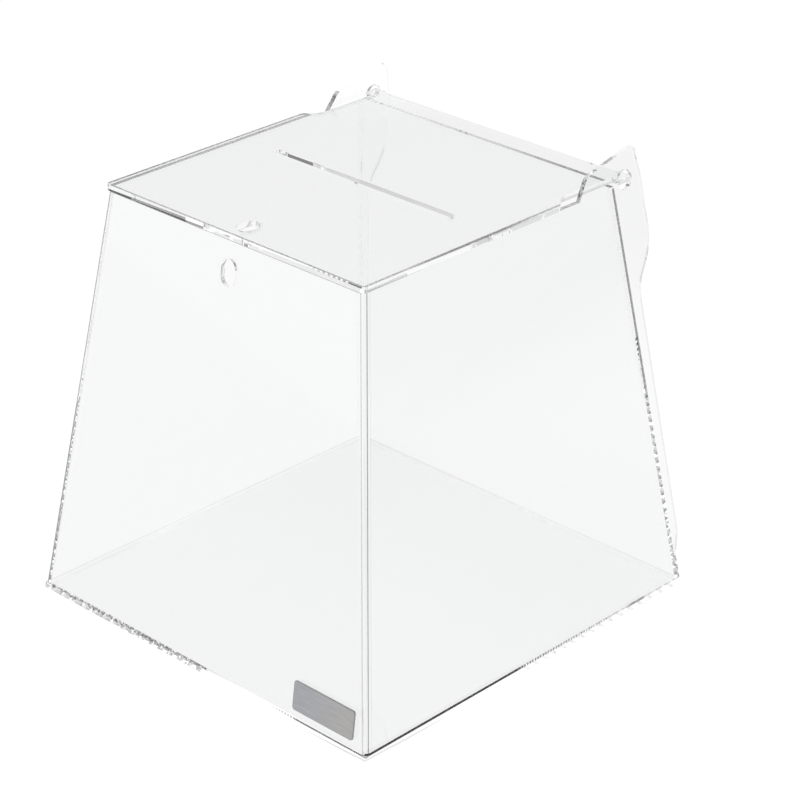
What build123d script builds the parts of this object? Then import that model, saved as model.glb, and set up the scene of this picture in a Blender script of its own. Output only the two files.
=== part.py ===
"""Clear acrylic ballot box with leaning walls and a lid that swings on its own tabs.

Millimetres, +Z up. The origin is the centre of the floor plate's underside. The front faces -Y and
the hinge is at the rear, towards +Y. The lid and the floor plate are cut from one thickness of sheet,
and the walls from a thinner one. A height on a wall is measured up the leaning sheet, from the top of
the floor plate.
"""
from build123d import *
import math
import os

# The box: a square base, a smaller square mouth and the level height of the walls between them
base_side = 300.0
mouth_side = 224.0
wall_height = 282.0
sheet = 4.0
wall_sheet = 3.2
bend_radius = 4.2
inside_bend_radius = 1.0

# The hinge: round holes in the side walls' ears, and the lid's flat tabs that turn in them
hinge_behind_mouth = 9.5
hinge_hole_diameter = 13.0
tab_width = 11.0
tab_end_radius = 1.5
tab_root_radius = 1.0

# The ears: how far each reaches from the hinge, above the mouth and below it, and its edge as
# shares of those reaches, from the foot over the brow and the crown, and down to the lobe
ear_front_reach = 43.5
ear_rear_reach = 20.5
ear_rise = 22.5
ear_drop = 82.0
ear_brow_radius = 9.0
ear_crown_radius = 4.0
brow_shares = (0.80, 0.61)
crown_shares = (0.53, 1.02)
rear_start_shares = (0.56, 0.80)
rear_edge_shares = ((0.72, -0.055), (0.88, 0.256), (0.975, 0.485), (0.765, 0.68), (0.50, 0.80))

# The side walls' margin behind the rear wall, wide under the lobe and narrow at its foot
margin_at_top = 7.4
margin_at_foot = 5.8
margin_foot_height = 34.0
margin_end_height = 17.0
margin_foot_radius = 20.0

# The lid: its play over the walls' tops, its overhang, its neck between the ears and its rear edge
lid_play = 0.2
lid_overhang = 1.0
lid_corner_radius = 3.5
lid_behind_hinge = 3.5
ear_side_clearance = 1.2
shoulder_ahead_of_ear = 19.5
shoulder_length = 9.0
shoulder_radius = 4.0
neck_radius = 9.0
flare_length = 4.0
flare_inset = 1.0
flare_radius = 2.0

# The ballot slot, and the oblong holes that one padlock's shackle passes through
slot_length = 156.0
slot_width = 5.0
padlock_hole_length = 18.0
padlock_hole_width = 12.0
lid_hole_from_edge = 16.5
wall_hole_from_edge = 21.5

# The small plate stuck low on the front wall, towards its right end
label_length = 52.0
label_height = 20.0
label_thickness = 0.8
label_corner_radius = 2.0
label_from_corner = 10.5
label_from_floor = 6.3

# How far a blank or a cut runs past what trims it
overrun = 6.0

# The lean, and the thickness of a leaning wall's sheet measured level through it
lean_run = (base_side - mouth_side) / 2
slant_height = math.hypot(wall_height, lean_run)
lean_cos = wall_height / slant_height
lean_sin = lean_run / slant_height
sheet_across = wall_sheet / lean_cos

# The hinge line runs through the middle of the lid's thickness and of the ear's
mouth_height = sheet + wall_height
hinge_y = mouth_side / 2 + hinge_behind_mouth
hinge_height = mouth_height + sheet / 2
hinge_up_wall = (hinge_height - sheet + lean_sin * wall_sheet / 2) / lean_cos


def half_width(up_wall):
    """Half of the box's outer width at a height measured up the leaning sheet."""
    return base_side / 2 - lean_run * up_wall / slant_height


# The walls' outer faces as drawing planes, each with Y up the sheet and Z out of the box
front_face = Plane(origin=(0, -base_side / 2, sheet), x_dir=(1, 0, 0), z_dir=(0, -lean_cos, lean_sin))
right_face = Plane(origin=(base_side / 2, 0, sheet), x_dir=(0, 1, 0), z_dir=(lean_cos, 0, lean_sin))
rear_face = Plane(origin=(0, base_side / 2, sheet), x_dir=(-1, 0, 0), z_dir=(0, lean_cos, lean_sin))
floor_level = Plane.XY.offset(sheet)
wall_top_level = Plane.XY.offset(mouth_height - lid_play)
lid_level = Plane.XY.offset(mouth_height)

# The corner line where the front and right faces meet, and a wall's half width past each end
corner_foot = (base_side / 2, -base_side / 2, sheet)
corner_line = Axis(corner_foot, (-lean_run, lean_run, wall_height))
blank_foot = -overrun
blank_head = slant_height + overrun

# The ear and the margin as points on the right wall's outer face
ear_foot = (hinge_y - ear_front_reach, slant_height)
ear_brow = (hinge_y - brow_shares[0] * ear_front_reach, slant_height + brow_shares[1] * ear_rise)
ear_crown = (hinge_y + crown_shares[0] * ear_rear_reach, slant_height + crown_shares[1] * ear_rise)
rear_start = (hinge_y + rear_start_shares[0] * ear_rear_reach, slant_height + rear_start_shares[1] * ear_rise)
rear_edge = [(hinge_y + out * ear_rear_reach, slant_height - down * ear_drop) for out, down in rear_edge_shares]
margin_top = (half_width(slant_height - ear_drop) + margin_at_top, slant_height - ear_drop)
margin_foot = (half_width(margin_foot_height) + margin_at_foot, margin_foot_height)
margin_end = (half_width(margin_end_height), margin_end_height)
ear_inside_top = (ear_foot[0], ear_foot[1] - wall_sheet)
ear_inside_foot = (margin_end[0] - wall_sheet, margin_end[1])
crown_to_rear = (rear_start[0] - ear_crown[0], rear_start[1] - ear_crown[1])
down_margin = (margin_foot[0] - margin_top[0], margin_foot[1] - margin_top[1])


# The front wall and both side walls, one sheet with a hot bend at each front corner
with BuildPart() as front_and_sides:
    # Half of the front wall and all of the right wall, run past their level ends and trimmed
    with BuildSketch(front_face):
        with BuildLine():
            Polyline(
                (0, blank_foot),
                (half_width(blank_foot), blank_foot),
                (half_width(blank_head), blank_head),
                (0, blank_head),
                close=True,
            )
        make_face()
    extrude(amount=-wall_sheet)
    with BuildSketch(right_face):
        with BuildLine():
            Polyline(
                (-half_width(blank_foot), blank_foot),
                (half_width(blank_foot), blank_foot),
                (half_width(blank_head), blank_head),
                (-half_width(blank_head), blank_head),
                close=True,
            )
        make_face()
    extrude(amount=-wall_sheet)
    split(bisect_by=wall_top_level, keep=Keep.BOTTOM)
    split(bisect_by=floor_level, keep=Keep.TOP)

    # The bend, rounded inside first so that the sharp outer edge is still the nearest one
    fillet(front_and_sides.edges().filter_by(corner_line).sort_by_distance(corner_foot)[-1], inside_bend_radius)
    fillet(front_and_sides.edges().filter_by(corner_line).sort_by_distance(corner_foot)[0], bend_radius)

    # The ear and the margin behind the rear wall, one outline down the wall's rear edge
    with BuildSketch(right_face):
        with BuildLine():
            Polyline(ear_inside_foot, ear_inside_top, ear_foot)
            FilletPolyline(ear_foot, ear_brow, ear_crown, rear_start, radius=[ear_brow_radius, ear_crown_radius])
            Spline(rear_start, *rear_edge, margin_top, tangents=(crown_to_rear, down_margin))
            FilletPolyline(margin_top, margin_foot, margin_end, radius=margin_foot_radius)
            Line(margin_end, ear_inside_foot)
        make_face()
    extrude(amount=-wall_sheet)

    # The hinge hole, square to the sheet, before the right half is copied to the left
    hinge_on_face = right_face.from_local_coords((hinge_y, hinge_up_wall, 0))
    with Locations(Plane(origin=hinge_on_face, z_dir=right_face.z_dir)):
        Hole(radius=hinge_hole_diameter / 2)
    mirror(about=Plane.YZ)

    # The padlock's hole, through the front wall below the middle of its top edge
    with BuildSketch(front_face):
        with Locations((0, slant_height - wall_hole_from_edge)):
            SlotOverall(padlock_hole_length, padlock_hole_width, rotation=90)
    extrude(amount=-wall_sheet, mode=Mode.SUBTRACT)
front_and_sides.part.label = "front_and_sides"


# The rear wall, a leaning sheet held between the side walls' inner faces
with BuildPart() as rear_wall:
    with BuildSketch(rear_face):
        with BuildLine():
            Polyline(
                (sheet_across - half_width(blank_foot), blank_foot),
                (half_width(blank_foot) - sheet_across, blank_foot),
                (half_width(blank_head) - sheet_across, blank_head),
                (sheet_across - half_width(blank_head), blank_head),
                close=True,
            )
        make_face()
    extrude(amount=-wall_sheet)
    split(bisect_by=wall_top_level, keep=Keep.BOTTOM)
    split(bisect_by=floor_level, keep=Keep.TOP)
rear_wall.part.label = "rear_wall"


# The floor plate, a plain square with sharp corners under the walls' lower edges
with BuildPart() as floor_plate:
    with BuildSketch(Plane.XY):
        Rectangle(base_side, base_side)
    extrude(amount=sheet)
floor_plate.part.label = "floor_plate"


# The lid's half outline: the neck clears the ears where they lean in furthest, at their crowns
lid_half = mouth_side / 2 + lid_overhang
lid_rear = hinge_y + lid_behind_hinge
neck_half = half_width(ear_crown[1]) - sheet_across - ear_side_clearance
shoulder_y = ear_foot[0] - shoulder_ahead_of_ear
tab_end = half_width((hinge_height - sheet) / lean_cos)
tab_front = hinge_y - tab_width / 2
tab_rear = hinge_y + tab_width / 2
flare_x = neck_half - flare_inset

# The lid, one flat sheet with its tabs, its ballot slot and its padlock hole
with BuildPart() as lid:
    with BuildSketch(lid_level):
        with BuildLine():
            FilletPolyline(
                (0, -lid_half),
                (lid_half, -lid_half),
                (lid_half, shoulder_y),
                (neck_half, shoulder_y + shoulder_length),
                (neck_half, tab_front),
                (tab_end, tab_front),
                (tab_end, tab_rear),
                (flare_x, tab_rear),
                (flare_x - flare_length, lid_rear),
                (0, lid_rear),
                radius=[
                    lid_corner_radius,
                    shoulder_radius,
                    neck_radius,
                    tab_root_radius,
                    tab_end_radius,
                    tab_end_radius,
                    flare_radius,
                    flare_radius,
                ],
            )
            mirror(about=Plane.YZ)
        make_face()
    extrude(amount=sheet)
    with BuildSketch(lid_level):
        SlotOverall(slot_length, slot_width)
        with Locations((0, lid_hole_from_edge - lid_half)):
            SlotOverall(padlock_hole_length, padlock_hole_width, rotation=90)
    extrude(amount=sheet, mode=Mode.SUBTRACT)
lid.part.label = "lid"


# The small plate on the front wall, bare
with BuildPart() as label_plate:
    with BuildSketch(front_face):
        label_x = half_width(label_from_floor) - label_from_corner - label_length / 2
        with Locations((label_x, label_from_floor + label_height / 2)):
            RectangleRounded(label_length, label_height, label_corner_radius)
    extrude(amount=label_thickness)
label_plate.part.label = "label_plate"


os.makedirs("parts", exist_ok=True)
export_step(front_and_sides.part, "parts/front_and_sides.step")
export_step(rear_wall.part, "parts/rear_wall.step")
export_step(floor_plate.part, "parts/floor_plate.step")
export_step(lid.part, "parts/lid.step")
export_step(label_plate.part, "parts/label_plate.step")
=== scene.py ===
# %% [markdown]
# # A clear ballot box
#
# The real object is a ballot box of clear acrylic sheet: a front and two sides bent from one sheet,
# a rear wall and a floor plate cemented to them, and a lid that swings on its own tabs. The lid and
# the floor plate are taken as 4 mm thick, and the walls as a little thinner. Every shape already
# comes from the CAD model, so this lesson is about the other half of the work: a material that
# behaves like clear sheet, and a studio that shows it. The real studio isn't known. Its levels, and
# the places and strengths of the fine dark lines, are fitted to the photograph, so they hold for the
# photograph's view and are less sure from any other side.

import math

import bpy
from mathutils import Matrix, Vector


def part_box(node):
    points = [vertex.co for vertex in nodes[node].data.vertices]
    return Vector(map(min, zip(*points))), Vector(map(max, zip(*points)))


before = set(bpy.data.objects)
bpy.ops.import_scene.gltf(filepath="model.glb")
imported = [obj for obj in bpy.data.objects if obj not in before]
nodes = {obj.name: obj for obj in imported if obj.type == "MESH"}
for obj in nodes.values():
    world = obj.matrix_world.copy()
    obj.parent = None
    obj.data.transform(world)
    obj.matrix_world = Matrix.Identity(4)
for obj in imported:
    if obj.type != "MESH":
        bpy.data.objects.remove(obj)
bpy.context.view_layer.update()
scene = bpy.context.scene
print("nodes:", sorted(nodes))

# %% [markdown]
# ## The camera
#
# The photograph was taken from the front right corner, looking down. The camera's place is worked
# out from four plain numbers: the turn round the box, the height angle, the distance and the point
# that it looks at. A tiny roll is left in, because the real camera was not quite level.

# %% Place the camera
frame_pixels = 800
sensor_width = 36.0
focal_pixels = 2799.5
turn = math.radians(43.819)
height_angle = math.radians(26.635)
roll = math.radians(0.226)
look_at = Vector((0.01554, 0.01884, 0.13692))
camera_distance = 1.8156

back = Vector((
    math.sin(turn) * math.cos(height_angle),
    -math.cos(turn) * math.cos(height_angle),
    math.sin(height_angle),
))
level_right = Vector((0, 0, 1)).cross(back).normalized()
level_up = back.cross(level_right)
camera_right = math.cos(roll) * level_right + math.sin(roll) * level_up
camera_up = math.cos(roll) * level_up - math.sin(roll) * level_right
eye = look_at + camera_distance * back

camera = bpy.data.objects.new("camera", bpy.data.cameras.new("camera"))
scene.collection.objects.link(camera)
camera.matrix_world = Matrix.Translation(eye) @ Matrix((camera_right, camera_up, back)).transposed().to_4x4()
camera.data.sensor_width = sensor_width
camera.data.lens = focal_pixels * sensor_width / frame_pixels
scene.camera = camera
print("lens in mm:", round(camera.data.lens, 2), "eye:", [round(v, 3) for v in eye])

# %% [markdown]
# ## Small helpers for node trees
#
# The finishes below are built from the same few sums again and again: measure a place along a
# direction, keep what lies between two limits, and multiply masks. A short function for each keeps
# the node trees readable. `tree` is always the node tree that the nodes are added to, and a value
# is either a plain number or colour, or a socket of another node.


# %% Helpers that add one node each
def feed(tree, socket, value):
    """Links a socket to another one, or gives it a plain value."""
    if isinstance(value, bpy.types.NodeSocket):
        tree.links.new(value, socket)
    else:
        socket.default_value = value


def maths(tree, operation, *values):
    """One Math node."""
    node = tree.nodes.new("ShaderNodeMath")
    node.operation = operation
    for socket, value in zip(node.inputs, values):
        feed(tree, socket, value)
    return node.outputs[0]


def along(tree, vector, direction):
    """How far a vector reaches along a direction."""
    node = tree.nodes.new("ShaderNodeVectorMath")
    node.operation = "DOT_PRODUCT"
    feed(tree, node.inputs[0], vector)
    feed(tree, node.inputs[1], direction)
    return node.outputs["Value"]


def fade(tree, value, start, end, before=0.0, after=1.0, shape="SMOOTHSTEP"):
    """A change from one level to another between two places."""
    node = tree.nodes.new("ShaderNodeMapRange")
    node.interpolation_type = shape
    feed(tree, node.inputs["Value"], value)
    for name, number in zip(("From Min", "From Max", "To Min", "To Max"), (start, end, before, after)):
        feed(tree, node.inputs[name], number)
    return node.outputs[0]


def blend(tree, share, first, second, kind="FLOAT"):
    """The first value where the share is 0, and the second where it is 1."""
    node = tree.nodes.new("ShaderNodeMix")
    node.data_type = kind
    for name, value in (("Factor", share), ("A", first), ("B", second)):
        feed(tree, node.inputs[name], value)
    return node.outputs["Result"]


print("helpers ready")

# %% [markdown]
# ## The studio
#
# Clear sheet has no colour of its own: it shows what is behind it and what it mirrors. So the
# surroundings matter more here than anywhere else. The box stands on white paper, and the
# background of the photograph is pure white. Here the same paper is made a touch darker where it is
# seen through the sheet or mirrored in it. No real paper does that: its glow asks Light Path which
# kind of ray is looking. To the right of the box the paper ends in a grey floor, which makes the
# soft change of tone in the right wall. Far behind the box the paper is at its whitest.

# %% Light that depends on who is looking
towards_backdrop = (-0.6924, 0.7215, 0.0)
towards_right = (0.7215, 0.6924, 0.0)


def seen_by(tree, eye_level, sheet_level, matt_level):
    """The levels that the camera sees, that clear sheet shows or mirrors, and that light matt things."""
    rays = tree.nodes.new("ShaderNodeLightPath").outputs
    shown = maths(tree, "MAXIMUM", rays["Is Glossy Ray"], rays["Is Transmission Ray"])
    for_eye = maths(tree, "MULTIPLY", rays["Is Camera Ray"], eye_level)
    for_sheet = maths(tree, "MULTIPLY", shown, sheet_level)
    for_matt = maths(tree, "MULTIPLY", rays["Is Diffuse Ray"], matt_level)
    return maths(tree, "ADD", for_eye, maths(tree, "ADD", for_sheet, for_matt))


print("the backdrop lies towards", towards_backdrop)

# %% The floor: white paper with a grey floor to its right
floor_size = 12.0
paper_below_box = 0.0005
paper_right_start = 0.45
paper_right_end = 0.90
far_paper_start = 0.85
far_paper_end = 0.95
paper_glow = 0.93
far_paper_glow = 1.0
surround_glow = 0.45
white_to_the_eye = 0.98
floor_grey = (0.07, 0.07, 0.07, 1)

bpy.ops.mesh.primitive_plane_add(size=floor_size, location=(0, 0, -paper_below_box))
floor = bpy.context.object
floor.name = "floor"
floor_finish = bpy.data.materials.new("studio_floor")
floor_finish.use_nodes = True
tree = floor_finish.node_tree
tree.nodes.clear()
matt = tree.nodes.new("ShaderNodeBsdfDiffuse")
matt.inputs["Color"].default_value = floor_grey
glow = tree.nodes.new("ShaderNodeEmission")
floor_place = tree.nodes.new("ShaderNodeTexCoord").outputs["Object"]
to_the_right = along(tree, floor_place, (1, 0, 0))
far_back = along(tree, floor_place, towards_backdrop)
near_paper = fade(tree, to_the_right, paper_right_start, paper_right_end, paper_glow, surround_glow)
far_extra = fade(tree, far_back, far_paper_start, far_paper_end, 0.0, far_paper_glow - paper_glow)
paper_level = maths(tree, "ADD", near_paper, far_extra)
feed(tree, glow.inputs["Strength"], seen_by(tree, white_to_the_eye, paper_level, 0.0))
both = tree.nodes.new("ShaderNodeAddShader")
feed(tree, both.inputs[0], matt.outputs[0])
feed(tree, both.inputs[1], glow.outputs[0])
feed(tree, tree.nodes.new("ShaderNodeOutputMaterial").inputs["Surface"], both.outputs[0])
floor.data.materials.append(floor_finish)
print("floor:", floor_size, "m square")

# %% [markdown]
# The air above the floor is a plain world, white to the camera. Clear sheet sees more in it. Low
# down it is pale all round. Higher up it is pale at the backdrop, which the lid mirrors, pale to
# the left, as beside a window, dark to the right, and dark overhead and behind the camera. Light
# that enters a cut edge leaves the sheet by another edge, towards one of those sides, and so one
# edge is drawn as a thin dark line and the next one stays bright.

# %% The air round the box
low_level = 0.77
backdrop_level = 0.67
backdrop_high_level = 0.80
left_level = 0.76
left_high_level = 0.36
right_level = 0.16
room_level = 0.24
matt_air_level = 0.40
height_and_left = (-0.36, -0.35, 1.0)

world = bpy.data.worlds.new("studio_air")
scene.world = world
world.use_nodes = True
tree = world.node_tree
tree.nodes.clear()
direction = tree.nodes.new("ShaderNodeTexCoord").outputs["Generated"]
height = along(tree, direction, (0, 0, 1))
rearwards = along(tree, direction, towards_backdrop)
rightwards = along(tree, direction, towards_right)
at_left = fade(tree, height, start=0.48, end=0.57, before=left_level, after=left_high_level)
sides = blend(tree, fade(tree, rightwards, start=-0.4, end=0.4), at_left, right_level)
rise_and_left = along(tree, direction, height_and_left)
at_rear = fade(tree, rise_and_left, start=0.47, end=0.54, before=backdrop_level, after=backdrop_high_level)
before_backdrop = blend(tree, fade(tree, rearwards, start=-0.7, end=-0.2), room_level, sides)
high_level = blend(tree, fade(tree, rearwards, start=0.2, end=0.7), before_backdrop, at_rear)
air_level = blend(tree, fade(tree, height, start=0.15, end=0.35), low_level, high_level)
air = tree.nodes.new("ShaderNodeBackground")
air.inputs["Color"].default_value = (1, 1, 1, 1)
feed(tree, air.inputs["Strength"], seen_by(tree, 1.0, air_level, matt_air_level))
feed(tree, tree.nodes.new("ShaderNodeOutputWorld").inputs["Surface"], air.outputs[0])
scene.view_settings.view_transform = "Standard"
print("world ready")

# %% [markdown]
# Two soft area lamps light the few surfaces that are not clear. They are hidden from the sheet's
# mirrors, or the walls would show two bright squares that the photograph doesn't have.


# %% Lamps
def soft_lamp(name, place, size, watts):
    """A square area lamp that faces the middle of the box."""
    lamp = bpy.data.objects.new(name, bpy.data.lights.new(name, "AREA"))
    scene.collection.objects.link(lamp)
    lamp.data.size = size
    lamp.data.energy = watts
    lamp.location = place
    lamp.visible_glossy = False
    lamp.visible_transmission = False
    lamp.rotation_euler = (look_at - Vector(place)).to_track_quat("-Z", "Y").to_euler()


soft_lamp("left_lamp", place=(-1.2, -1.0, 1.8), size=1.2, watts=14)
soft_lamp("right_lamp", place=(1.5, -0.6, 1.2), size=1.4, watts=6)

# %% [markdown]
# ## How far light travels in a sheet
#
# A view ray that enters a sheet by its cut edge bounces between the two faces like light in a
# glass fibre, and leaves by another edge. Blender stops after a dozen bounces, which paints such
# edges black. The limits are raised, so that the light gets through to the other edge.

# %% Let light bounce on
bounce_limit = 320
scene.cycles.max_bounces = bounce_limit
scene.cycles.transmission_bounces = bounce_limit
scene.cycles.glossy_bounces = bounce_limit
scene.cycles.transparent_max_bounces = 32
print("bounces:", scene.cycles.max_bounces)

# %% [markdown]
# ## The box's own measures
#
# Some finishes sit at a place on the box: a cemented joint is where two sheets meet, and a bend is
# where the walls turn. Those places are worked out from the CAD model's few numbers, in metres.

# %% Measures that the finishes need
millimetre = 0.001
floor_low, floor_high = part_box("floor_plate")
lid_low, lid_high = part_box("lid")
sheet = floor_high[2] - floor_low[2]
half_base = floor_high[0]
wall_sheet = 3.2 * millimetre
wall_height = 282 * millimetre
lean_run = 38 * millimetre
hinge_y = 121.5 * millimetre
lid_play = 0.2 * millimetre
lean = math.atan2(lean_run, wall_height)
lean_cos = math.cos(lean)
lean_sin = math.sin(lean)
face_distance = half_base * lean_cos + sheet * lean_sin
wall_top = sheet + wall_height
half_mouth = half_base - lean_run
print("sheet in mm:", round(sheet / millimetre, 2), "lean in degrees:", round(math.degrees(lean), 2))

# %% [markdown]
# A place on the box is easiest to name by how far out it lies from each leaning wall, and by which
# way its surface faces. All of these come from Object coordinates, so that a pattern stays on its
# piece when the lid swings.

# %% Where a point lies on the box
half_diagonal = math.sqrt(0.5)


def places(tree):
    """Sockets for a point's own coordinates, its reach towards each wall, and its normal."""
    coordinates = tree.nodes.new("ShaderNodeTexCoord")
    place = coordinates.outputs["Object"]
    fold = tree.nodes.new("ShaderNodeVectorMath")
    fold.operation = "ABSOLUTE"
    feed(tree, fold.inputs[0], place)
    folded = fold.outputs["Vector"]
    sideways = along(tree, folded, (half_diagonal, 0, 0))
    return {
        "place": place,
        "normal": coordinates.outputs["Normal"],
        "x": along(tree, place, (1, 0, 0)),
        "y": along(tree, place, (0, 1, 0)),
        "z": along(tree, place, (0, 0, 1)),
        "from_middle_x": along(tree, folded, (1, 0, 0)),
        "from_middle_y": along(tree, folded, (0, 1, 0)),
        "sidewards": along(tree, folded, (lean_cos, 0, lean_sin)),
        "rightwards": along(tree, place, (lean_cos, 0, lean_sin)),
        "forwards": along(tree, place, (0, -lean_cos, lean_sin)),
        "rearwards": along(tree, place, (0, lean_cos, lean_sin)),
        "round_bend": maths(tree, "ADD", sideways, along(tree, place, (0, half_diagonal, 0))),
    }


print("a point has a place along each wall's own direction")


# %% Masks, and sums of masks
def more(tree, value, limit):
    """1 where a value is over a limit."""
    return maths(tree, "GREATER_THAN", value, limit)


def less(tree, value, limit):
    """1 where a value is under a limit."""
    return maths(tree, "LESS_THAN", value, limit)


def squareness(tree, at, direction):
    """1 on faces square to a direction and 0 on faces along it, seen from outside or from inside."""
    return maths(tree, "ABSOLUTE", along(tree, at["normal"], direction))


def facing(tree, at, direction, share=0.9):
    """1 on faces that are about square to a direction."""
    return more(tree, squareness(tree, at, direction), share)


def all_true(tree, *masks):
    """The product of several masks, so 1 where every mask is 1."""
    result = masks[0]
    for mask in masks[1:]:
        result = maths(tree, "MULTIPLY", result, mask)
    return result


def any_true(tree, *masks):
    """The highest of several masks."""
    result = masks[0]
    for mask in masks[1:]:
        result = maths(tree, "MAXIMUM", result, mask)
    return result


print("masks ready")

# %% [markdown]
# ## Cemented joints
#
# Acrylic is joined with a thin solvent cement that melts the two faces into one. A good joint
# can't be seen: light goes straight through it. Two CAD solids that touch still have two faces
# there, and each would bend the light. Both faces are given an Alpha of zero at the joint, so
# that the two sheets become one piece of plastic for the light. The masks look at the size of the
# normal and not at its sign, because Blender turns the normal over when it is seen from inside.


# %% Masks for the places of the joints
def walls_foot(tree, at):
    """The lower edges of the walls, which stand on the floor plate."""
    return all_true(tree, facing(tree, at, (0, 0, 1)), less(tree, at["z"], 1.25 * sheet))


def side_walls_joint(tree, at):
    """The strip of a side wall's inner face that the rear wall's edge is cemented to."""
    behind = more(tree, at["rearwards"], face_distance - wall_sheet)
    before = less(tree, at["rearwards"], face_distance)
    inner = less(tree, at["sidewards"], face_distance - 0.75 * wall_sheet)
    below_top = less(tree, at["z"], wall_top - lid_play)
    return all_true(tree, facing(tree, at, (1, 0, 0)), behind, before, inner, below_top)


def rear_wall_joint(tree, at):
    """The rear wall's two side edges."""
    return facing(tree, at, (1, 0, 0))


def floor_plate_joint(tree, at):
    """The border of the floor plate's upper face, under the walls."""
    outmost = maths(tree, "MAXIMUM", at["from_middle_x"], at["from_middle_y"])
    border = more(tree, outmost, half_base - wall_sheet / lean_cos)
    return all_true(tree, facing(tree, at, (0, 0, 1)), more(tree, at["z"], 0.5 * sheet), border)


print("joint masks ready")

# %% [markdown]
# ## Cut edges
#
# The faces of the sheet are as they were cast, and the edges are cut. The masks below find them.


# %% Masks for the cut edges
def flat_sheet_cut(tree, at):
    """The upright cut edges of the lid and the floor plate."""
    return less(tree, squareness(tree, at, (0, 0, 1)), 0.05)


def walls_cut(tree, at):
    """The walls' cut upper edges, and the cut edges of the ears and of the margins behind them."""
    upper = facing(tree, at, (0, 0, 1), 0.5)
    across = less(tree, squareness(tree, at, (1, 0, 0)), 0.3)
    behind_front = less(tree, at["forwards"], face_distance - 1.5 * wall_sheet)
    return any_true(tree, upper, all_true(tree, across, behind_front))


def ear_front_cut(tree, at, lowest, hindmost):
    """The ears' cut front edges, over a height and before a place."""
    cut = less(tree, squareness(tree, at, (1, 0, 0)), 0.5)
    return all_true(tree, cut, more(tree, at["z"], lowest), less(tree, at["y"], hindmost))


def lid_front_cut(tree, at):
    """The lid's cut front edge."""
    in_front = less(tree, at["y"], lid_low[1] + millimetre)
    return all_true(tree, in_front, facing(tree, at, (0, 1, 0)))


print("cut edges ready")

# %% [markdown]
# ## Node groups for dark lines
#
# Clear sheet shows hair-thin dark lines at its seams, beside its bends and along some cut edges,
# where refraction and total internal reflection turn the view towards dark surroundings. Here that
# darkness is painted shade in the sheet's colour, whole in places and broken into dots elsewhere.
# Small node groups draw all of them: one draws a line of a given width, one says how the line
# breaks up along its length, and one scatters specks.


# %% Make and use node groups
def new_group(name, **inputs):
    """An empty node group that puts out one level; an input without a value is a vector."""
    group = bpy.data.node_groups.new(name, "ShaderNodeTree")
    for title, value in inputs.items():
        kind = "NodeSocketVector" if value is None else "NodeSocketFloat"
        socket = group.interface.new_socket(title.replace("_", " "), in_out="INPUT", socket_type=kind)
        if value is not None:
            socket.default_value = value
    group.interface.new_socket("Level", in_out="OUTPUT", socket_type="NodeSocketFloat")
    return group, group.nodes.new("NodeGroupInput").outputs, group.nodes.new("NodeGroupOutput").inputs["Level"]


def use_group(tree, group, **values):
    """One node of a group, as the level that it puts out."""
    node = tree.nodes.new("ShaderNodeGroup")
    node.node_tree = group
    for title, value in values.items():
        feed(tree, node.inputs[title.replace("_", " ")], value)
    return node.outputs["Level"]


print("groups can be made")

# %% A thin line, and beads along a line
thin_line, given, level = new_group("thin_line", Place=0.0, Centre=0.0, Half_Width=0.0003, Darkness=1.0)
off_centre = maths(thin_line, "ABSOLUTE", maths(thin_line, "SUBTRACT", given["Place"], given["Centre"]))
off_edge = maths(thin_line, "DIVIDE", off_centre, given["Half Width"])
line_shape = fade(thin_line, off_edge, start=0.7, end=1.3, before=1.0, after=0.0)
feed(thin_line, level, maths(thin_line, "MULTIPLY", line_shape, given["Darkness"]))

beads, given, level = new_group("beads", Place=0.0, Period=0.002, Solid_Until=0.05, Gone_By=0.1)
turns = maths(beads, "MULTIPLY", maths(beads, "DIVIDE", given["Place"], given["Period"]), 2 * math.pi)
wave = maths(beads, "MULTIPLY_ADD", maths(beads, "SINE", turns), 0.5, 0.5)
past_solid = maths(beads, "SUBTRACT", given["Place"], given["Solid Until"])
beaded_length = maths(beads, "SUBTRACT", given["Gone By"], given["Solid Until"])
share = maths(beads, "DIVIDE", past_solid, beaded_length)
share.node.use_clamp = True
gaps = fade(beads, wave, start=0.35, end=0.65, before=1.0, after=0.0)
solid = fade(beads, share, start=0.0, end=0.12, before=1.0, after=0.0)
kept = maths(beads, "POWER", maths(beads, "SUBTRACT", 1.0, share), 0.4)
feed(beads, level, maths(beads, "MULTIPLY", maths(beads, "MAXIMUM", gaps, solid), kept))
print("groups:", thin_line.name, beads.name)

# %% Specks
specks, given, level = new_group("specks", Place=None, Size=0.002, Share=0.4)
dots = specks.nodes.new("ShaderNodeTexNoise")
dots.inputs["Detail"].default_value = 1.0
feed(specks, dots.inputs["Vector"], given["Place"])
feed(specks, dots.inputs["Scale"], maths(specks, "DIVIDE", 0.5, given["Size"]))
limit = maths(specks, "SUBTRACT", 0.75, maths(specks, "MULTIPLY", given["Share"], 0.5))
over_limit = maths(specks, "SUBTRACT", dots.outputs[0], limit)
feed(specks, level, fade(specks, over_limit, start=-0.03, end=0.03))
print("group:", specks.name)

# %% [markdown]
# Two more groups describe surfaces. A laser leaves fine upright lines on a cut edge, too small to
# see one by one, but enough to soften what the edge mirrors. A brush leaves long fine lines on
# metal. Both are noise that is squeezed along one direction.


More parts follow.
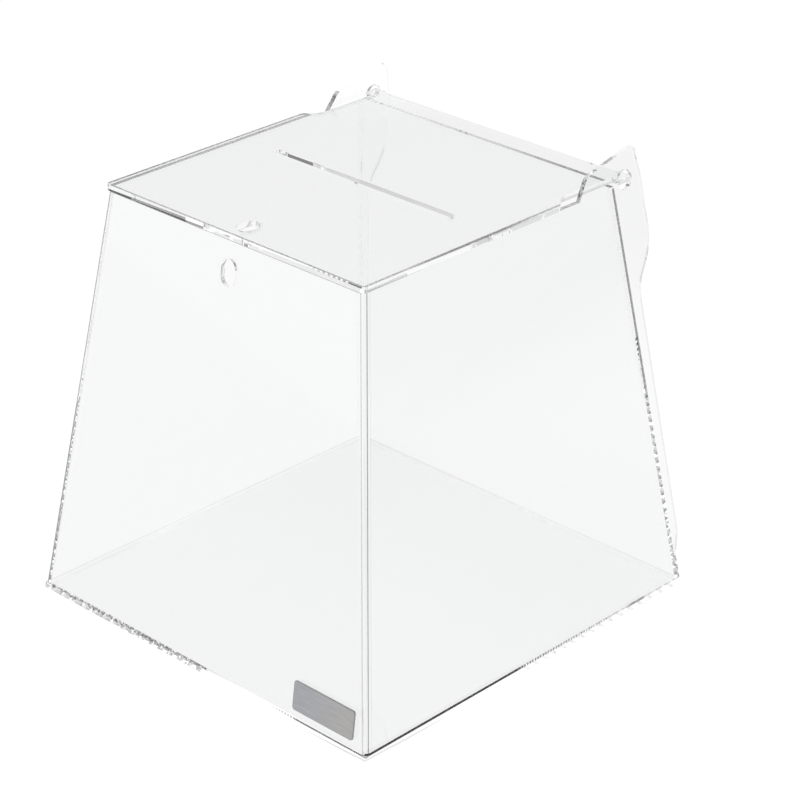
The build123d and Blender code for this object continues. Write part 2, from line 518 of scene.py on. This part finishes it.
# %% Node groups for cut edges and brushed metal
def stretched_grain(name, stretch, scale):
    """A group with fine lines, between the two levels that it is given."""
    group, given, level = new_group(name, Place=None, Low=0.0, High=1.0)
    squeeze = group.nodes.new("ShaderNodeVectorMath")
    squeeze.operation = "MULTIPLY"
    feed(group, squeeze.inputs[0], given["Place"])
    feed(group, squeeze.inputs[1], stretch)
    noise = group.nodes.new("ShaderNodeTexNoise")
    noise.inputs["Scale"].default_value = scale
    noise.inputs["Detail"].default_value = 3.0
    feed(group, noise.inputs["Vector"], squeeze.outputs["Vector"])
    span = maths(group, "SUBTRACT", given["High"], given["Low"])
    lines = fade(group, noise.outputs[0], start=0.3, end=0.7)
    feed(group, level, maths(group, "MULTIPLY_ADD", lines, span, given["Low"]))
    return group


cut_lines = stretched_grain("cut_lines", stretch=(1.0, 1.0, 0.05), scale=1200.0)
brush_lines = stretched_grain("brush_lines", stretch=(0.03, 1.0, 1.0), scale=2600.0)
print("groups:", cut_lines.name, brush_lines.name)

# %% [markdown]
# ## The marks
#
# Each mark below is painted shade at one place where the photograph shows such a line. A mark gives
# a darkness from 0 to 1. On the walls it lies on the outer faces only, because a line on the inner
# face would be seen a second time beside the first. Beads are a regular wave and specks are noise,
# so they don't follow the real ones one by one. Marks on sides that the photograph hides are guesses.


# %% Marks at the bends
def outer_face(tree, at):
    """1 on the outer half of the walls' thickness."""
    return more(tree, maths(tree, "MAXIMUM", at["sidewards"], at["forwards"]), face_distance - wall_sheet / 2)


def bend_shade_lines(tree, at):
    """Painted shade: two lines beside each front bend with a faint third one, and one on the left bend's far side."""
    beside_bend = 1.78 * millimetre
    fine = 0.3 * millimetre
    lines = [
        use_group(tree, thin_line, Place=at["round_bend"], Centre=centre, Half_Width=fine, Darkness=darkness)
        for centre, darkness in ((-beside_bend, 0.55), (beside_bend, 0.88), (2.1 * beside_bend, 0.12))
    ]
    far_side = use_group(
        tree, thin_line, Place=at["round_bend"], Centre=-1.0 * millimetre, Half_Width=1.35 * millimetre, Darkness=0.85
    )
    on_left = less(tree, at["x"], 0.0)
    return all_true(tree, any_true(tree, *lines, all_true(tree, far_side, on_left)), outer_face(tree, at))


print("bend lines ready")


# %% Marks at the foot
def right_seam_shade(tree, at):
    """Painted shade along the right wall's seam: dark at the front, beaded behind, with a dark stub near its rear
    end.
    """
    from_corner = maths(tree, "ADD", at["y"], half_base)
    beaded = use_group(tree, beads, Place=from_corner, Period=2.5 * millimetre, Solid_Until=0.137, Gone_By=0.235)
    stub = use_group(tree, thin_line, Place=from_corner, Centre=0.2545, Half_Width=9 * millimetre, Darkness=0.8)
    line = use_group(
        tree, thin_line, Place=at["z"], Centre=sheet + 0.5 * millimetre, Half_Width=1.0 * millimetre, Darkness=1.0
    )
    on_right = more(tree, at["rightwards"], face_distance - wall_sheet / 2)
    return all_true(tree, any_true(tree, beaded, stub), on_right, line)


def foot_seam_shade(tree, at):
    """Painted shade along the seam over the floor plate, on the right and in front, and faint on the left."""
    from_corner = maths(tree, "SUBTRACT", half_base, at["x"])
    beaded = use_group(tree, beads, Place=from_corner, Period=2.6 * millimetre, Solid_Until=0.060, Gone_By=0.085)
    line = use_group(
        tree, thin_line, Place=at["z"], Centre=sheet - 0.1 * millimetre, Half_Width=0.65 * millimetre, Darkness=0.97
    )
    on_front = more(tree, at["forwards"], face_distance - wall_sheet / 2)
    front = all_true(tree, beaded, on_front, line)
    left = all_true(tree, less(tree, at["x"], 0.0), line, 0.3)
    return all_true(tree, any_true(tree, right_seam_shade(tree, at), front, left), outer_face(tree, at))


def foot_shade_specks(tree, at):
    """Painted shade as dark specks in the front seam, towards its left end."""
    scattered = use_group(tree, specks, Place=at["place"], Size=1.6 * millimetre, Share=0.45)
    band = use_group(
        tree, thin_line, Place=at["z"], Centre=sheet - 0.5 * millimetre, Half_Width=1.0 * millimetre, Darkness=0.85
    )
    towards_left = fade(tree, maths(tree, "SUBTRACT", half_base, at["x"]), start=0.14, end=0.20)
    on_front = more(tree, at["forwards"], face_distance - wall_sheet / 2)
    return all_true(tree, scattered, band, towards_left, on_front)


print("seam marks ready")


# %% Marks on the side walls
def rear_joint_shade_line(tree, at):
    """Painted shade at the rear wall's edge behind a side wall: dark and whole in its upper part on the right."""
    line = use_group(
        tree,
        thin_line,
        Place=at["rearwards"],
        Centre=face_distance - 0.8 * wall_sheet,
        Half_Width=1.1 * millimetre,
        Darkness=0.88,
    )
    upper = fade(tree, at["z"], start=0.120, end=0.150)
    below_top = less(tree, at["z"], wall_top)
    on_right = more(tree, at["rightwards"], face_distance - wall_sheet / 2)
    return all_true(tree, line, upper, below_top, on_right)


def ear_front_shade(tree, at):
    """Painted shade on the ears' cut front edges, dark at the foot and clear towards the crown."""
    foot_end = wall_top + 10 * millimetre
    dark = fade(tree, at["z"], start=foot_end, end=foot_end + 4 * millimetre, before=0.75, after=0.0)
    return all_true(tree, dark, ear_front_cut(tree, at, wall_top - millimetre, hinge_y))


def left_wall_top_shade(tree, at):
    """Painted shade on the left wall's cut upper edge, dark towards the front."""
    over = more(tree, at["z"], wall_top - millimetre)
    under_lid = less(tree, at["z"], wall_top + 0.5 * millimetre)
    dark = fade(tree, at["y"], start=-0.11, end=0.06, before=0.85, after=0.5)
    on_left = less(tree, at["x"], -0.9 * half_mouth)
    return all_true(tree, facing(tree, at, (0, 0, 1)), over, under_lid, dark, on_left)


print("marks on the side walls ready")


# %% Marks on the rear wall
def rear_wall_foot_shade(tree, at):
    """Faint painted shade along the seam over the floor plate."""
    return all_true(tree, less(tree, at["z"], sheet + 0.8 * millimetre), 0.35)


def rear_wall_top_shade(tree, at):
    """Painted shade on the cut upper edge, dark towards its right end."""
    from_right_end = maths(tree, "SUBTRACT", half_mouth, at["x"])
    beaded = use_group(tree, beads, Place=from_right_end, Period=4.0 * millimetre, Solid_Until=0.16, Gone_By=0.24)
    to_the_right = fade(tree, at["x"], start=-0.05, end=0.08, before=0.35, after=0.95)
    upper = more(tree, at["z"], wall_top - millimetre)
    return all_true(tree, beaded, to_the_right, facing(tree, at, (0, 0, 1)), upper)


print("marks on the rear wall ready")


# %% Marks on the lid's edges
def lid_front_shade_band(tree, at):
    """A band of painted shade on the lid's front edge that widens from the left corner, and ends at once."""
    band_start = -113 * millimetre
    band_end = -39 * millimetre
    narrow = 1.2 * millimetre
    wide = 3.0 * millimetre
    band_top = fade(tree, at["x"], band_start, band_end, before=narrow, after=wide, shape="LINEAR")
    low = less(tree, maths(tree, "SUBTRACT", at["z"], lid_low[2]), band_top)
    return all_true(tree, low, less(tree, at["x"], band_end), lid_front_cut(tree, at), 0.85)


def lid_front_shade_beads(tree, at):
    """Beads of painted shade under the upper arris of the lid's front edge, from the near corner leftwards."""
    from_corner = maths(tree, "SUBTRACT", lid_high[0], at["x"])
    beaded = use_group(tree, beads, Place=from_corner, Period=4.2 * millimetre, Solid_Until=0.010, Gone_By=0.046)
    upper = more(tree, at["z"], lid_high[2] - 1.1 * millimetre)
    return all_true(tree, beaded, upper, lid_front_cut(tree, at), 0.95)


def lid_side_shade_marks(tree, at):
    """Painted shade on the lid's right edge: a short grey band beside the front corner, and a thin line along the
    top.
    """
    up_edge = maths(tree, "SUBTRACT", at["z"], lid_low[2])
    from_corner = maths(tree, "SUBTRACT", at["y"], lid_low[1])
    near_corner = less(tree, from_corner, 36 * millimetre)
    band = all_true(tree, less(tree, up_edge, 2.0 * millimetre), near_corner, 0.45)
    growing = fade(tree, from_corner, start=0.03, end=0.06, before=0.2, after=0.8)
    shrinking = fade(tree, from_corner, start=0.12, end=0.16, before=1.0, after=0.35)
    top_line = all_true(tree, more(tree, up_edge, sheet - 0.7 * millimetre), growing, shrinking)
    return all_true(tree, any_true(tree, band, top_line), more(tree, at["x"], lid_high[0] - millimetre))


print("marks on the lid ready")

# %% [markdown]
# ## Edges that shine
#
# A cut edge shows light that reached it through the sheet. In this studio the cut edges of three
# places come out darker than in the photograph: the floor plate's sides, the lid's front and the
# left ear's front. A little emission lifts them. It is a stand-in with fitted strengths, and not a
# property of clear sheet.

# %% Glows of the cut edges
edge_glow = 0.15
crown_glow = 0.5
crown_foot = wall_top + 13 * millimetre
crown_end = hinge_y + 6 * millimetre


def plate_edge_glow(tree, at):
    """The floor plate's four cut sides."""
    return all_true(tree, flat_sheet_cut(tree, at), edge_glow)


def lid_front_glow(tree, at):
    """The lid's front edge, from the end of its dark band to the near corner."""
    return all_true(tree, lid_front_cut(tree, at), more(tree, at["x"], -38 * millimetre), edge_glow)


def ear_crown_glow(tree, at):
    """The left ear's front edge over its foot."""
    on_left = less(tree, at["x"], 0.0)
    return all_true(tree, ear_front_cut(tree, at, crown_foot, crown_end), on_left, crown_glow)


print("glows ready")

# %% [markdown]
# ## Clear acrylic
#
# Cast acrylic bends light by 1.49, and its tint is almost nothing. Its faces are smooth, so a
# Principled shader with full transmission and no roughness is right for them, and the cut edges
# get a trace of the laser's grain. Light loses a little of its strength at each face, which the
# Base Color says, and the marks paint their shade dark into it.

# %% The clear sheet material
acrylic_index = 1.49
acrylic_tint = (0.985, 0.988, 0.988, 1)
# The dark colour that the marks paint into the sheet as shade.
painted_shade_colour = (0.0005, 0.0005, 0.0006, 1)
cut_roughness = 0.01


def clear_sheet(name, cut, joints, marks, glows):
    """Clear acrylic, from masks of its cut edges, cemented joints, painted shade marks and glowing edges."""
    material = bpy.data.materials.new(name)
    material.use_nodes = True
    tree = material.node_tree
    shader = tree.nodes["Principled BSDF"]
    shader.inputs["IOR"].default_value = acrylic_index
    shader.inputs["Transmission Weight"].default_value = 1.0
    at = places(tree)
    grain = use_group(tree, cut_lines, Place=at["place"], High=cut_roughness)
    feed(tree, shader.inputs["Roughness"], all_true(tree, grain, cut(tree, at)))
    # Painted shade: the marks darken the sheet's Base Color where clear sheet shows dark lines.
    painted_shade = any_true(tree, *[mark(tree, at) for mark in marks])
    feed(tree, shader.inputs["Base Color"], blend(tree, painted_shade, acrylic_tint, painted_shade_colour, "RGBA"))
    if glows:
        bright = any_true(tree, *[shine(tree, at) for shine in glows])
        unshaded = maths(tree, "SUBTRACT", 1.0, painted_shade)
        feed(tree, shader.inputs["Emission Color"], all_true(tree, bright, unshaded))
        shader.inputs["Emission Strength"].default_value = 1.0
    if joints:
        joined = any_true(tree, *[joint(tree, at) for joint in joints])
        feed(tree, shader.inputs["Alpha"], maths(tree, "SUBTRACT", 1.0, joined))
    print("material", name, "with", len(joints), "joints and", len(marks), "marks")
    return material


# %% Clear acrylic for each sheet
finishes = {
    "front_and_sides": clear_sheet(
        "acrylic_walls",
        cut=walls_cut,
        joints=(walls_foot, side_walls_joint),
        marks=(bend_shade_lines, foot_seam_shade, foot_shade_specks, rear_joint_shade_line, ear_front_shade, left_wall_top_shade),
        glows=(ear_crown_glow,),
    ),
    "rear_wall": clear_sheet(
        "acrylic_rear_wall",
        cut=flat_sheet_cut,
        joints=(walls_foot, rear_wall_joint),
        marks=(rear_wall_foot_shade, rear_wall_top_shade),
        glows=(),
    ),
    "floor_plate": clear_sheet(
        "acrylic_floor",
        cut=flat_sheet_cut,
        joints=(floor_plate_joint,),
        marks=(foot_seam_shade, foot_shade_specks),
        glows=(plate_edge_glow,),
    ),
    "lid": clear_sheet(
        "acrylic_lid",
        cut=flat_sheet_cut,
        joints=(),
        marks=(lid_front_shade_band, lid_front_shade_beads, lid_side_shade_marks),
        glows=(lid_front_glow,),
    ),
}

# %% [markdown]
# ## The small plate
#
# A thin plate of brushed aluminium is stuck low on the front wall. Here it is left bare. The brush
# ran along it, so the lines are long sideways and fine upwards. It mirrors the room softly, and a
# painted reflection makes its colour a little cooler at its left end and warmer at its right end.
# Its rim is a shade darker.

# %% The bare plate
plate_low, plate_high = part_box("label_plate")
# Painted reflection: a cooler colour for the plate's left end and a warmer one for its right end.
cool_reflection_tint = (0.55, 0.56, 0.60, 1)
warm_reflection_tint = (0.60, 0.585, 0.575, 1)
rim_metal = (0.30, 0.30, 0.31, 1)
rim_width = 0.5 * millimetre
rim_share = 0.6

plate_metal = bpy.data.materials.new("brushed_plate")
plate_metal.use_nodes = True
tree = plate_metal.node_tree
shader = tree.nodes["Principled BSDF"]
shader.inputs["Metallic"].default_value = 0.6
at = places(tree)
# The painted reflection runs from cooler at the left end to warmer at the right end.
metal = blend(tree, fade(tree, at["x"], plate_low[0], plate_high[0]), cool_reflection_tint, warm_reflection_tint, "RGBA")
tone = use_group(tree, brush_lines, Place=at["place"], High=0.35)
brushed = blend(tree, tone, metal, rim_metal, "RGBA")
rim = any_true(
    tree,
    less(tree, at["x"], plate_low[0] + rim_width),
    more(tree, at["x"], plate_high[0] - rim_width),
    less(tree, at["z"], plate_low[2] + rim_width),
    more(tree, at["z"], plate_high[2] - rim_width),
)
feed(tree, shader.inputs["Base Color"], blend(tree, all_true(tree, rim, rim_share), brushed, rim_metal, "RGBA"))
feed(tree, shader.inputs["Roughness"], use_group(tree, brush_lines, Place=at["place"], Low=0.28, High=0.42))
bump = tree.nodes.new("ShaderNodeBump")
bump.inputs["Strength"].default_value = 0.2
bump.inputs["Distance"].default_value = 0.02 * millimetre
feed(tree, bump.inputs["Height"], use_group(tree, brush_lines, Place=at["place"]))
feed(tree, shader.inputs["Normal"], bump.outputs["Normal"])
finishes["label_plate"] = plate_metal
print("bare plate ready")

# %% Dress the nodes
for name, finish in finishes.items():
    nodes[name].data.materials.clear()
    nodes[name].data.materials.append(finish)
print("dressed:", sorted(finishes))
